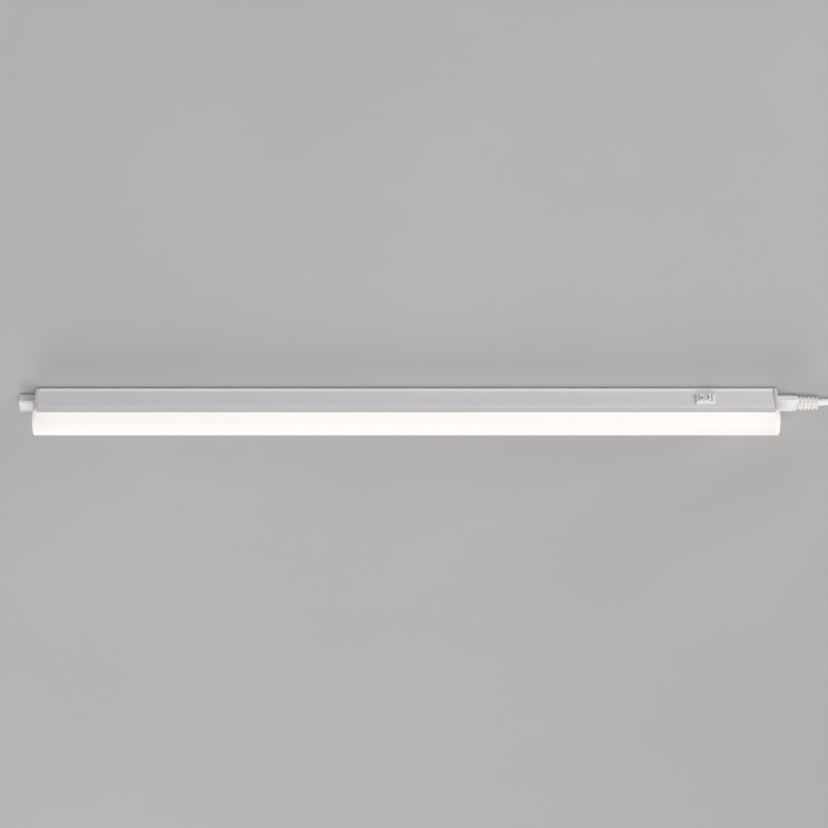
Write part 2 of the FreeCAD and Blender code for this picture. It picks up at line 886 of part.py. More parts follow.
def make_plug():
    top = coil_end.z
    neck, half = plug_neck_width / 2, plug_width / 2
    z_shoulder = top - plug_neck_length - plug_shoulder_length
    z_front = z_shoulder - plug_straight
    points = [
        (neck, top),
        (neck, top - plug_neck_length),
        (half, z_shoulder),
        (half, z_front),
    ]
    outline = [vec(coil_end.x + x, coil_end.y - plug_thickness / 2, z) for x, z in mirrored(points)]
    body = Part.Face(Part.makePolygon(outline + outline[:1])).extrude(vec(0, plug_thickness, 0))
    return rounded(body, plug_round, lambda edge: edge.BoundBox.ZMin > z_front + fit_gap), z_front


def make_plug_pins(z_front):
    z_tip = z_front - plug_pin_length
    pins = []
    for side in (-1, 1):
        tip = vec(coil_end.x + side * plug_pin_spacing / 2, coil_end.y, z_tip)
        pin = Part.makeCylinder(plug_pin_diameter / 2, plug_pin_length, tip)
        pin = rounded(pin, plug_pin_diameter / 4, lambda edge: edge.BoundBox.ZMax < z_tip + fit_gap)
        pins.append(pin)
    return pins


# Wires inside the chamber: through wires, switched live, neutral and the LED supply.
def make_link_wires():
    x_bend = x_pin_tail - link_wire_straight
    wires = []
    for side in (-1, 1):
        y = side * pin_spacing / 2
        right = [
            vec(x_pin_tail, y, z_pocket),
            vec(x_bend, y, z_pocket),
            vec(x_bend - link_wire_slope, y, z_wire),
        ]
        left = [vec(-point.x, point.y, point.z) for point in reversed(right)]
        wires.append(cord_tube("link wire", right + left, wire_diameter))
    return wires


# Where a wire is soldered under the tail of an inlet pin, on the given side.
def pin_joint(side):
    z = z_pocket - pin_diameter / 2 - wire_joint_gap
    return vec(x_pin_tail + pin_tail / 2, side * pin_spacing / 2, z)


def make_switch_wires():
    blade_y = -body_half + switch_depth + blade_tail / 2
    blade_reach = blade_sheet / 2 + wire_joint_gap
    start = pin_joint(-1)
    bend_run, bend_y = feed_wire_bend
    feed = [
        start,
        start + vec(0, 0, -wire_stub),
        vec(start.x - bend_run, bend_y, switch_z),
        vec(switch_x + feed_wire_end, blade_y, switch_z),
        vec(switch_x + blade_reach, blade_y, switch_z),
    ]
    blade_x = switch_x - blade_offset - blade_reach
    board_x = driver_end - board_wire_inset
    bend_run, bend_y, bend_drop = live_wire_bend
    end_y, end_drop = live_wire_end
    out = [
        vec(blade_x, blade_y, switch_z),
        vec(blade_x - live_wire_start, blade_y, switch_z),
        vec(driver_end + bend_run, bend_y, switch_z - bend_drop),
        vec(board_x, end_y, switch_z - end_drop),
        vec(board_x, end_y, z_rail - wire_joint_gap),
    ]
    return [cord_tube("switch feed", feed, wire_diameter), cord_tube("switch out", out, wire_diameter)]


def make_neutral_wire():
    start = pin_joint(1)
    board_x = driver_end - board_wire_inset
    far_run, far_y = neutral_wire_far
    near_run, near_y, near_drop = neutral_wire_near
    points = [
        start,
        start + vec(0, 0, -wire_stub),
        vec(start.x - neutral_wire_turn, neutral_wire_y, switch_z),
        vec(driver_end + far_run, far_y, switch_z),
        vec(driver_end + near_run, near_y, switch_z - near_drop),
        vec(board_x, neutral_wire_y, switch_z - neutral_wire_drop),
        vec(board_x, neutral_wire_y, z_rail - wire_joint_gap),
    ]
    return cord_tube("neutral wire", points, wire_diameter)


def make_led_wires():
    wires = []
    for side in (-1, 1):
        top = vec(driver_start + led_wire_inset, side * led_wire_y, z_rail)
        bottom = vec(driver_start + led_wire_inset, side * led_wire_y, z_track + led_board_thickness)
        wires.append(Part.makeCylinder(wire_diameter / 2, top.z - bottom.z, bottom))
    return wires


os.makedirs("parts", exist_ok=True)

save("base_profile", make_profile())
save("diffuser", make_diffuser())
end_cap = make_cap()
save("feed_end_cap", end_cap)
save("link_end_cap", mirrored_x(end_cap))
cap_screws = make_cap_screws()
save("end_cap_screws", Part.makeCompound(cap_screws + [mirrored_x(screw) for screw in cap_screws]))
pins = make_pins()
save("feed_pins", Part.makeCompound(pins))
save("link_pins", Part.makeCompound([mirrored_x(pin) for pin in pins]))
save("ceiling_clip_left", make_clip(-clip_x))
save("ceiling_clip_right", make_clip(clip_x))

save("led_board", make_led_board())
save("led_chips", Part.makeCompound(make_leds()))

save("link_cover", mirrored_x(make_cover()))
save("lead_connector", make_connector())
save("lead_sleeves", Part.makeCompound(make_sleeves()))
save("strain_relief", make_strain_relief())
save("lead_run", cord_tube("lead run", lead_points + [coil_join], cord_diameter))
save("lead_coil", make_coil())
save("coil_tie", make_tie())
plug, plug_face = make_plug()
save("mains_plug", plug)
save("plug_pins", Part.makeCompound(make_plug_pins(plug_face)))

save("switch_body", make_switch_body())
save("switch_rocker", make_rocker())
save("switch_plunger", make_plunger())
save("switch_spring", make_spring())
save("switch_lever", make_lever())
save("switch_blades", Part.makeCompound(make_blades()))

save("driver_board", make_driver_board())
save("insulating_film", make_film())
save("fuse_resistor", make_fuse_resistor())
save("film_capacitor", component(film_capacitor_offset, *film_capacitor_size))
save("bridge_rectifier", component(bridge_offset, *bridge_size))
save("smoothing_capacitor", make_capacitor())
save("driver_chip", component(chip_offset, *chip_size))
save("choke", make_choke())
save("link_wires", Part.makeCompound(make_link_wires()))
save("switch_wires", Part.makeCompound(make_switch_wires()))
save("neutral_wire", make_neutral_wire())
save("led_wires", Part.makeCompound(make_led_wires()))
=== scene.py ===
import math

import bpy
from mathutils import Matrix, Vector


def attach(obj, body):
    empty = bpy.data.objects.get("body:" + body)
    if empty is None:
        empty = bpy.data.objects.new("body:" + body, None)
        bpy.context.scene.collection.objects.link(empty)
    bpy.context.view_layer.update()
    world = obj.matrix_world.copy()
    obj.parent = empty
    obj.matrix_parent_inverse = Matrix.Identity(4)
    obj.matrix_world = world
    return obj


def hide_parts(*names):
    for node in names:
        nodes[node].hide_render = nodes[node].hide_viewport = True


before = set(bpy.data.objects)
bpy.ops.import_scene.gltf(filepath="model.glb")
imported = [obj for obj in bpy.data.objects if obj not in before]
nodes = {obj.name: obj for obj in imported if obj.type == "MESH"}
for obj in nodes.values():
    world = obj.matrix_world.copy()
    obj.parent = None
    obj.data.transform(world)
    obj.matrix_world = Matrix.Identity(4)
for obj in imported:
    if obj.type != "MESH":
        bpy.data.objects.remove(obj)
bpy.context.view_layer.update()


# Ceiling clips: two stamped strips of spring steel, screwed to the ceiling through their holes.
# Two legs are bent down and hook outwards behind the lips of the lamp's back channel.
mm = 0.001
along_x, along_y, along_z = 0, 1, 2


def select_only(*pieces):
    """Selects these pieces alone and makes the first one active."""
    bpy.ops.object.select_all(action="DESELECT")
    for piece in pieces:
        piece.select_set(True)
    bpy.context.view_layer.objects.active = pieces[0]


def around(middle, half):
    """The range that reaches as far to either side of its middle."""
    return (middle - half, middle + half)


def to_side(hand, span):
    """A range on the left or right of the middle line."""
    return [hand * value for value in span]


def block(name, x, y, z):
    """A cube stretched to the given ranges, in millimetres."""
    bpy.ops.object.select_all(action="DESELECT")
    bpy.ops.mesh.primitive_cube_add(size=1)
    piece = bpy.context.active_object
    piece.name = piece.data.name = name
    for vertex in piece.data.vertices:
        ranges = zip(vertex.co, (x, y, z))
        vertex.co = [(max(span) if side > 0 else min(span)) * mm for side, span in ranges]
    return piece


def rod(name, centre, radius, length, axis, sides=32):
    """A cylinder about its centre along an axis, in millimetres."""
    bpy.ops.object.select_all(action="DESELECT")
    turn = [(0, math.pi / 2, 0), (math.pi / 2, 0, 0), (0, 0, 0)][axis]
    place = [value * mm for value in centre]
    bpy.ops.mesh.primitive_cylinder_add(
        vertices=sides, radius=radius * mm, depth=length * mm, location=place, rotation=turn
    )
    bpy.ops.object.transform_apply(location=True, rotation=True, scale=True)
    piece = bpy.context.active_object
    piece.name = piece.data.name = name
    return piece


def combine(piece, tool, operation):
    """Takes piece and tool together as solids, and removes the tool."""
    step = piece.modifiers.new("combine", "BOOLEAN")
    step.operation = operation
    step.solver = "EXACT"
    step.object = tool
    select_only(piece)
    bpy.ops.object.modifier_apply(modifier=step.name)
    bpy.data.objects.remove(tool)


def add(piece, tool):
    """Makes the tool's shape part of the piece."""
    combine(piece, tool, "UNION")


def cut(piece, tool):
    """Cuts the tool's shape out of the piece."""
    combine(piece, tool, "DIFFERENCE")


def pick_edges(piece, wanted):
    """Opens the piece in edit mode with the edges selected whose ends pass the test, in mm."""
    select_only(piece)
    bpy.ops.object.mode_set(mode="EDIT")
    bpy.ops.mesh.select_mode(type="EDGE")
    bpy.ops.mesh.select_all(action="DESELECT")
    bpy.ops.object.mode_set(mode="OBJECT")
    corners = piece.data.vertices
    for edge in piece.data.edges:
        ends = [corners[index].co / mm for index in edge.vertices]
        edge.select = wanted(*ends)
    bpy.ops.object.mode_set(mode="EDIT")


def round_edges(piece, width, segments, wanted):
    """Rounds the edges that pass the test, or chamfers them with one segment."""
    pick_edges(piece, wanted)
    bpy.ops.mesh.bevel(offset=width * mm, segments=segments, affect="EDGES", clamp_overlap=True)
    bpy.ops.object.mode_set(mode="OBJECT")


def smooth(piece, degrees):
    """Shades the piece smooth, except across edges sharper than the angle."""
    select_only(piece)
    bpy.ops.object.shade_smooth_by_angle(angle=math.radians(degrees))


def flatten(piece):
    """Shades rounded edges smooth and keeps the large faces beside them flat."""
    smooth(piece, 40)
    step = piece.modifiers.new("flat", "WEIGHTED_NORMAL")
    step.keep_sharp = True
    bpy.ops.object.modifier_apply(modifier=step.name)


def break_edges(piece, width, segments=2):
    """Takes the sharpness off every edge that is left, and shades the flats flat."""
    step = piece.modifiers.new("soft", "BEVEL")
    step.width = width * mm
    step.segments = segments
    step.limit_method = "ANGLE"
    step.angle_limit = math.radians(35)
    step.use_clamp_overlap = True
    select_only(piece)
    bpy.ops.object.modifier_apply(modifier=step.name)
    flatten(piece)


def close_mesh(piece):
    """Merges doubled points and turns all faces outwards."""
    select_only(piece)
    bpy.ops.object.mode_set(mode="EDIT")
    bpy.ops.mesh.select_all(action="SELECT")
    bpy.ops.mesh.remove_doubles(threshold=1e-7)
    bpy.ops.mesh.normals_make_consistent(inside=False)
    bpy.ops.object.mode_set(mode="OBJECT")


def surface(
    name, colour, roughness, mottle=0.04, grain=1200.0, relief=0.02, metallic=0.0, stretch=(1, 1, 1)
):
    """A finish with cloudy tone, a fine grain in its gloss and a little relief."""
    gloss_spread, grains_to_cloud, grain_depth = 0.08, 15, 0.4
    material = bpy.data.materials.new(name)
    material.use_nodes = True
    tree = material.node_tree
    shader = tree.nodes["Principled BSDF"]
    shader.inputs["Metallic"].default_value = metallic
    place = tree.nodes.new("ShaderNodeTexCoord")
    scaled = tree.nodes.new("ShaderNodeMapping")
    scaled.inputs["Scale"].default_value = stretch
    tree.links.new(place.outputs["Object"], scaled.inputs["Vector"])
    cloud = tree.nodes.new("ShaderNodeTexNoise")
    cloud.inputs["Scale"].default_value = grain / grains_to_cloud
    cloud.inputs["Detail"].default_value = 3
    tone = tree.nodes.new("ShaderNodeValToRGB")
    tone.color_ramp.elements[0].position = 0.3
    tone.color_ramp.elements[0].color = [value * (1 - mottle) for value in colour] + [1]
    tone.color_ramp.elements[1].position = 0.7
    tone.color_ramp.elements[1].color = [min(value * (1 + mottle), 1) for value in colour] + [1]
    fine = tree.nodes.new("ShaderNodeTexNoise")
    fine.inputs["Scale"].default_value = grain
    gloss = tree.nodes.new("ShaderNodeMapRange")
    gloss.inputs["To Min"].default_value = max(roughness - gloss_spread, 0.02)
    gloss.inputs["To Max"].default_value = min(roughness + gloss_spread, 1.0)
    bump = tree.nodes.new("ShaderNodeBump")
    bump.inputs["Strength"].default_value = relief
    bump.inputs["Distance"].default_value = grain_depth * mm
    for texture in (cloud, fine):
        tree.links.new(scaled.outputs["Vector"], texture.inputs["Vector"])
    tree.links.new(cloud.outputs["Fac"], tone.inputs["Fac"])
    tree.links.new(tone.outputs["Color"], shader.inputs["Base Color"])
    tree.links.new(fine.outputs["Fac"], gloss.inputs["Value"])
    tree.links.new(gloss.outputs["Result"], shader.inputs["Roughness"])
    tree.links.new(fine.outputs["Fac"], bump.inputs["Height"])
    tree.links.new(bump.outputs["Normal"], shader.inputs["Normal"])
    return material


def fit(piece, body, slot, material, *replaced):
    """Gives a finished piece its material and its body and hides the nodes it stands for; the slot is not
    used.
    """
    piece.data.materials.clear()
    piece.data.materials.append(material)
    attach(piece, body)
    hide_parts(*replaced)


clip_at, clip_half, clip_corner = 190.0, 13, 2.5
clip_hole, clip_hole_length = 2.1, 4
plate_y, plate_z = (-7.5, 7.5), (-0.8, 0)
leg_half, leg_y, leg_z = 10, (3.4, 4.2), (-2.75, -0.4)
hook_y, hook_z, hook_round = (3.8, 5.9), (-2.75, -2.05), 0.6
rolled_lengthwise = (0.08, 1, 1)
spring_steel = surface(
    "spring_steel", (0.60, 0.60, 0.61), 0.34, 0.08, 900, 0.04, metallic=1.0, stretch=rolled_lengthwise
)


def plate_corner(a, b):
    return abs(a.z - b.z) > 0.5


def hook_tip(a, b):
    """The lower outer edge of a hook, which guides the lamp on."""
    return min(abs(a.y), abs(b.y)) > 5 and max(a.z, b.z) < -2.5


for side, node in ((-1, "ceiling_clip_left"), (1, "ceiling_clip_right")):
    middle = side * clip_at
    leg_x = around(middle, leg_half)
    clip = block(node.replace("ceiling_clip", "spring_clip"), around(middle, clip_half), plate_y, plate_z)
    round_edges(clip, clip_corner, 5, plate_corner)
    for hand in (-1, 1):
        add(clip, block("leg", leg_x, to_side(hand, leg_y), leg_z))
        hook = block("hook", leg_x, to_side(hand, hook_y), hook_z)
        round_edges(hook, hook_round, 3, hook_tip)
        add(clip, hook)
    cut(clip, rod("hole", (middle, 0, plate_z[0] / 2), clip_hole, clip_hole_length, along_z, 40))
    close_mesh(clip)
    break_edges(clip, 0.12)
    fit(clip, "ceiling_mount", "steel", spring_steel, node)


# Body of the lamp: an aluminium extrusion, sawn to length and painted satin white. Its foot
# turns out at the ceiling; inside are the driver chamber, screw ports and the LED track.
def drawn(points, axis, along):
    """A closed line of points across the given axis, in millimetres."""
    bpy.ops.object.select_all(action="DESELECT")
    bpy.ops.mesh.primitive_circle_add(vertices=len(points))
    line = bpy.context.active_object
    for vertex, point in zip(line.data.vertices, points):
        place = list(point)
        place.insert(axis, along)
        vertex.co = [value * mm for value in place]
    return line


def joined(name, pieces):
    select_only(*pieces)
    bpy.ops.object.join()
    piece = bpy.context.active_object
    piece.name = piece.data.name = name
    return piece


def pulled(name, lines, axis, start, end):
    """A bar with the section of the closed lines, pulled along the axis."""
    piece = joined(name, [drawn(points, axis, start) for points in lines])
    travel = [0.0, 0.0, 0.0]
    travel[axis] = (end - start) * mm
    bpy.ops.object.mode_set(mode="EDIT")
    bpy.ops.mesh.select_all(action="SELECT")
    if len(lines) == 1:
        bpy.ops.mesh.edge_face_add()
    else:
        bpy.ops.mesh.fill(use_beauty=True)
    bpy.ops.mesh.select_all(action="SELECT")
    bpy.ops.mesh.extrude_region_move(TRANSFORM_OT_translate={"value": travel})
    bpy.ops.object.mode_set(mode="OBJECT")
    close_mesh(piece)
    return piece


def both_sides(half):
    """The half section and its mirror image, as one line."""
    return half + [(-y, z) for y, z in reversed(half)]


def arc(y, z, radius, first, last, steps):
    """Points on a circle between two angles in degrees."""
    turns = [math.radians(first + (last - first) * step / steps) for step in range(steps + 1)]
    return [(y + radius * math.cos(turn), z + radius * math.sin(turn)) for turn in turns]


cap_seat = 283.3
port, port_wall, port_bore = (7.75, -17.15), 2.05, 1.25
lip = [(6.4, -3.0), (6.4, -1.9), (4.5, -1.9), (4.5, -1.0)]
face = [(12.2, -1.0), (12.2, -2.0), (11.0, -3.4), (11.0, -17.6), (10.7, -21.5)]
catch = [(9.4, -21.5), (9.4, -22.6), (8.9, -22.6), (8.9, -23.6), (9.4, -23.6), (9.4, -24.6)]
track = [(8.2, -24.6), (8.2, -22.5), (6.8, -22.5), (6.8, -21.7), (8.1, -21.7), (8.1, -20.4)]
rail = [(9.8, -3.8), (9.8, -8.65), (8.6, -8.65), (8.6, -9.4), (9.8, -9.4)]
chamber = both_sides(rail + arc(*port, port_wall, 0, 270, 18))
bores = [arc(hand * port[0], port[1], port_bore, 0, 345, 23) for hand in (-1, 1)]
section = [both_sides(lip + face + catch + track), chamber, *bores]
profile = pulled("lamp_profile", section, along_x, -cap_seat, cap_seat)


def face_edge(a, b):
    """The long edges on the outside of the profile."""
    if abs(a.x - b.x) < 100:
        return False
    return any(abs(abs(a.y) - y) < 0.05 and abs(a.z - z) < 0.05 for y, z in face)


face_round = 0.28
switch_window = ((223.5, 236.9), (-13, -5.7), (-16.2, -7.8))
wire_hole_x, wire_hole_y, wire_hole_z = 66, 5, -19.8
wire_hole, wire_hole_length = 1.4, 3
round_edges(profile, face_round, 3, face_edge)
cut(profile, block("window", *switch_window))
for hand in (-1, 1):
    wires_at = (wire_hole_x, hand * wire_hole_y, wire_hole_z)
    cut(profile, rod("wire_hole", wires_at, wire_hole, wire_hole_length, along_z, 24))
smooth(profile, 32)
white_paint = surface(
    "satin_white_paint", (0.78, 0.77, 0.785), 0.42, 0.025, 1500, 0.03, stretch=(0.04, 1, 1)
)
fit(profile, "lamp", "white_metal", white_paint, "base_profile")


# LED board: a white lacquered aluminium strip pushed into the track under the web, with a row
# of small LED packages soldered along its middle.
board_white = surface("board_lacquer", (0.84, 0.84, 0.81), 0.3, 0.03, 700, 0.02)
phosphor = surface("led_phosphor", (0.90, 0.76, 0.28), 0.25, 0.06, 3000, 0.03)
nodes["led_board"].data.materials[0] = board_white
nodes["led_chips"].data.materials[0] = phosphor


# Driver: a green circuit board on the rails of the chamber, a folded insulating film above it
# and its components below, joined to inlets, switch and LEDs by insulated wires.
driver_finishes = {
    "driver_board": surface("solder_mask_green", (0.06, 0.26, 0.11), 0.3, 0.18, 500, 0.05),
    "insulating_film": surface("clear_film", (0.80, 0.78, 0.66), 0.18, 0.03, 300, 0.02),
    "fuse_resistor": surface("resistor_lacquer", (0.22, 0.45, 0.50), 0.35, 0.08, 900, 0.03),
    "film_capacitor": surface("yellow_epoxy", (0.80, 0.60, 0.08), 0.28, 0.06, 800, 0.03),
    "bridge_rectifier": surface("black_epoxy", (0.03, 0.03, 0.035), 0.5, 0.2, 1500, 0.06),
    "smoothing_capacitor": surface("capacitor_sleeve", (0.05, 0.06, 0.09), 0.35, 0.15, 600, 0.03),
    "driver_chip": surface("chip_epoxy", (0.035, 0.035, 0.04), 0.55, 0.2, 2500, 0.06),
    "choke": surface("enamelled_copper", (0.60, 0.28, 0.12), 0.3, 0.12, 1400, 0.15, 1.0, (1, 0.2, 0.2)),
    "link_wires": surface("wire_brown", (0.30, 0.13, 0.06), 0.4, 0.08, 700, 0.03),
    "switch_wires": surface("wire_black", (0.04, 0.04, 0.045), 0.4, 0.12, 700, 0.03),
    "neutral_wire": surface("wire_blue", (0.08, 0.20, 0.52), 0.4, 0.08, 700, 0.03),
    "led_wires": surface("wire_red", (0.52, 0.06, 0.05), 0.4, 0.08, 700, 0.03),
}
for node, finish in driver_finishes.items():
    nodes[node].data.materials[0] = finish


# Rocker switch: a white moulded housing pushed through a window in the front face, with a
# sloped bezel outside. The dished rocker turns on two trunnions and carries printed O and I.
switch_x, switch_z = 230.2, -12.0
pivot = (switch_x, -11.6, switch_z)
bezel_half, bezel_y, bezel_slope, bezel_corner = (7.6, 5.2), (-12.8, -11.0), 1.3, 0.25
case_half, case_y = (6.6, 4.1), (-11.5, 1.5)
opening_half, opening_y = (5.2, 3.6), (-14, -3.2)
blade_half, blade_y, blade_spacing = (0.33, 1.43), (-4, 2), 4.0
bearing_radius, bearing_length = 0.85, 7.9
white_moulding = surface("white_moulding", (0.80, 0.795, 0.785), 0.36, 0.025, 1400, 0.03)


def switch_block(name, half, y, x=switch_x):
    """A block about the switch's axis, by its half width and half height."""
    return block(name, around(x, half[0]), y, around(switch_z, half[1]))


def bezel_rim(a, b):
    return max(a.y, b.y) < -12


def bezel_mitre(a, b):
    """The sloped edges between the bezel's four sides."""
    return max(a.y, b.y) < -11.2 and abs(a.y - b.y) > 1


housing = switch_block("switch_housing", bezel_half, bezel_y)
round_edges(housing, bezel_slope, 1, bezel_rim)
round_edges(housing, bezel_corner, 2, bezel_mitre)
add(housing, switch_block("case", case_half, case_y))
cut(housing, switch_block("opening", opening_half, opening_y))
cut(housing, rod("bearing", pivot, bearing_radius, bearing_length, along_z, 24))
for blade_x in (switch_x, switch_x - blade_spacing):
    cut(housing, switch_block("slot", blade_half, blade_y, blade_x))
close_mesh(housing)
break_edges(housing, 0.14)
fit(housing, "lamp", "white_plastic", white_moulding, "switch_body")

rocker_tilt, rocker_half = math.radians(-9), 3.45
crest, dish_y, dish_rise, dish_steps = 3.4, -13.3, 0.73, 8
rocker_back = [(4.85, -13.18), (4.85, -12.57), (0.0, -10.97), (-4.6, -12.57), (-4.6, -13.62)]
trunnion_radius, trunnion_length = 0.8, 7.8
post_y, post_radius, post_length = -9.6, 1.6, 4.4
post_bore_y, post_bore, post_bore_length = -8.8, 1.05, 4.0


def dish(x):
    """Level of the rocker's hollow face, x mm from its middle."""
    return dish_y - dish_rise * (x / crest) ** 2


across = [step * crest / dish_steps for step in range(-dish_steps, dish_steps + 1)]
rocker_line = [(x, dish(x)) for x in across] + rocker_back
rocker_line = [(switch_x + x, y) for x, y in rocker_line]
rocker = pulled("switch_paddle", [rocker_line], along_z, *around(switch_z, rocker_half))
add(rocker, rod("trunnion", pivot, trunnion_radius, trunnion_length, along_z, 24))
add(rocker, rod("post", (switch_x, post_y, switch_z), post_radius, post_length, along_y, 28))
cut(rocker, rod("post_bore", (switch_x, post_bore_y, switch_z), post_bore, post_bore_length, along_y, 24))
close_mesh(rocker)
break_edges(rocker, 0.2, 3)
hinge = Vector(pivot) * mm
tilt = Matrix.Translation(hinge) @ Matrix.Rotation(rocker_tilt, 4, "Z") @ Matrix.Translation(-hinge)
rocker.data.transform(tilt)
fit(rocker, "rocker", "white_plastic", white_moulding, "switch_rocker")

mark_ink = surface("mark_ink", (0.045, 0.043, 0.045), 0.5, 0.1, 2500, 0.03)
mark_z, mark_half, mark_stroke, mark_tall = switch_z - 0.5, 1.0, 0.42, 1.42
mark_front, mark_back, ink_proud, ink_root = -13.60, -13.50, 0.02, -0.08
off_x = switch_x - 2.42
rings = [arc(0, 0, radius, 0, 350, 35) for radius in (mark_half, mark_half - mark_stroke)]
rings = [[(off_x + x, mark_z + z * mark_tall) for x, z in ring] for ring in rings]
off_mark = pulled("off_mark", rings, along_y, mark_front, mark_back)
bar = [(2.4, -1.5), (2.9, -1.5), (2.9, 1.5), (2.4, 1.5)]
bar = [(switch_x + x, mark_z + z) for x, z in bar]
on_mark = pulled("on_mark", [bar], along_y, mark_front, mark_back)
for mark in (off_mark, on_mark):
    for vertex in mark.data.vertices:
        in_front = vertex.co.y / mm < (mark_front + mark_back) / 2
        proud = ink_proud if in_front else ink_root
        vertex.co.y = (dish(vertex.co.x / mm - switch_x) - proud) * mm
    mark.data.transform(tilt)
    mark.data.materials.append(mark_ink)
    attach(mark, "rocker")

contact_brass = surface("contact_brass", (0.72, 0.50, 0.20), 0.28, 0.06, 900, 0.03, metallic=1.0)
nodes["switch_plunger"].data.materials[0] = white_moulding
nodes["switch_spring"].data.materials[0] = spring_steel
nodes["switch_lever"].data.materials[0] = contact_brass
nodes["switch_blades"].data.materials[0] = contact_brass


# Diffuser: an extruded half-round trough of opal acrylic. Its skirts snap over the profile and
# stay dim; below them the LEDs light it, falling off close to the caps and, as painted shade, a little
# towards the bottom, where the fill lamp falls strongest.
lens_z, lens_radius, lens_wall = -25.2, 10.7, 1.2
lens_inner, skirt_top, lens_end = lens_radius - lens_wall, -21.6, cap_seat - 0.1
bead = [(lens_inner, -23.5), (9.0, -23.5), (9.0, -22.7), (lens_inner, -22.7), (lens_inner, skirt_top)]
outside = arc(0, lens_z, lens_radius, 0, -180, 64)
inside = arc(0, lens_z, lens_inner, -180, 0, 56)
trough = [(lens_radius, skirt_top)] + outside + [(-lens_radius, skirt_top)]
trough += [(-y, z) for y, z in reversed(bead)] + inside + bead
lens = pulled("opal_lens", [trough], along_x, -lens_end, lens_end)
smooth(lens, 30)


def eased(tree, value, start, end, first, last):
    """Passes smoothly from one value to another between two places, in millimetres."""
    step = tree.nodes.new("ShaderNodeMapRange")
    step.interpolation_type = "SMOOTHSTEP"
    step.inputs["From Min"].default_value = start * mm
    step.inputs["From Max"].default_value = end * mm
    step.inputs["To Min"].default_value = first
    step.inputs["To Max"].default_value = last
    tree.links.new(value, step.inputs["Value"])
    return step.outputs["Result"]


def chained(tree, operation, result, *others):
    """Several node outputs taken together by one kind of arithmetic."""
    for other in others:
        step = tree.nodes.new("ShaderNodeMath")
        step.operation = operation
        tree.links.new(result, step.inputs[0])
        tree.links.new(other, step.inputs[1])
        result = step.outputs["Value"]
    return result


def lit_plastic(name, colour, glow, strength, dim, lit_z, low, fade_from, fade_to, fade_share):
    """White plastic lit from inside: dim above, fully lit at one level, weaker at the ends, and weaker
    below as painted shade.
    """
    material = surface(name, colour, 0.5, 0.02, 1500, 0.015)
    tree = material.node_tree
    shader = tree.nodes["Principled BSDF"]
    shader.inputs["Emission Color"].default_value = (*glow, 1)
    place = tree.nodes.new("ShaderNodeTexCoord")
    parts = tree.nodes.new("ShaderNodeSeparateXYZ")
    tree.links.new(place.outputs["Object"], parts.inputs["Vector"])
    away = tree.nodes.new("ShaderNodeMath")
    away.operation = "ABSOLUTE"
    tree.links.new(parts.outputs["X"], away.inputs[0])
    dim_z, dim_share = dim
    low_z, painted_shade_share = low
    upper = eased(tree, parts.outputs["Z"], dim_z, lit_z, dim_share, 1.0)
    # A weaker glow below the lit level is painted shade, which offsets the fill lamp's stronger light on
    # faces that look down.
    lower = eased(tree, parts.outputs["Z"], lit_z, low_z, 1.0, painted_shade_share)
    along = eased(tree, away.outputs["Value"], fade_from, fade_to, strength, strength * fade_share)
    power = chained(tree, "MULTIPLY", upper, lower, along)
    tree.links.new(power, shader.inputs["Emission Strength"])
    return material


opal = lit_plastic(
    "opal_acrylic",
    colour=(0.295, 0.302, 0.325),
    glow=(1.0, 0.945, 0.89),
    strength=0.755,
    dim=(-25.6, 0.42),
    lit_z=-26.3,
    # The glow falls to 0.88 at the bottom: painted shade against the fill lamp's light there.
    low=(-34.5, 0.88),
    fade_from=262,
    fade_to=283,
    fade_share=0.93,
)
fit(lens, "lamp", "opal", opal, "diffuser")


# End caps: white moulded plates with slightly rounded outer edges and a shadow groove where
# they meet the profile, held by two screws each. A pocket takes the inlet pins, and the lower
# part, which closes the lens, glows with it.
cap_end, cap_round = 286.5, 0.9
pin_y, pin_z = 2.4, -6.5
overlap = 0.5
shell_x, shell_y, shell_z = (276.3, cap_seat + overlap), (-5.45, 5.45), (-9.05, -3.95)
pocket_x, pocket_y, pocket_z = (277.5, cap_end + 1), (-4.7, 4.7), (-8.3, -4.7)
spigot_start, spigot_radius = 280.8, 9.2
pin_hole_x, pin_hole, pin_hole_length = 277, 0.83, 4
screw_hole_x, screw_hole, screw_hole_length = 285, 1.45, 6
screw_sink_x, screw_sink, screw_sink_length = 286.85, 2.75, 4
joint_start, joint_end = cap_seat - 1, cap_seat + 0.55
joint_side = [(11.75, 0), (14, 0), (14, -21.3), (10.49, -21.3)]


def cap_rim(a, b):
    """The outer edge of a cap, apart from its side at the ceiling."""
    return min(a.x, b.x) > 286 and min(a.z, b.z) < -1.1


cap_line = [face[0]] + arc(0, lens_z, lens_radius, 0, -180, 40) + [(-face[0][0], face[0][1])]
cap = pulled("feed_cap", [cap_line], along_x, cap_seat, cap_end)
round_edges(cap, cap_round, 5, cap_rim)
add(cap, block("shell", shell_x, shell_y, shell_z))
spigot_line = arc(0, lens_z, spigot_radius, 0, -180, 32)
add(cap, pulled("spigot", [spigot_line], along_x, spigot_start, cap_seat + overlap))
cut(cap, block("pocket", pocket_x, pocket_y, pocket_z))
for hand in (-1, 1):
    pin_at = (pin_hole_x, hand * pin_y, pin_z)
    screw_at = (screw_hole_x, hand * port[0], port[1])
    sink_at = (screw_sink_x, hand * port[0], port[1])
    cut(cap, rod("pin_hole", pin_at, pin_hole, pin_hole_length, along_x, 20))
    cut(cap, rod("screw_hole", screw_at, screw_hole, screw_hole_length, along_x, 24))
    cut(cap, rod("screw_sink", sink_at, screw_sink, screw_sink_length, along_x, 36))
for hand in (-1, 1):
    joint = [(hand * y, z) for y, z in joint_side]
    cut(cap, pulled("joint_groove", [joint], along_x, joint_start, joint_end))
close_mesh(cap)
break_edges(cap, 0.1)


def own_copy(piece):
    """A copy of the piece with its own mesh."""
    other = piece.copy()
    other.data = piece.data.copy()
    bpy.context.scene.collection.objects.link(other)
    return other


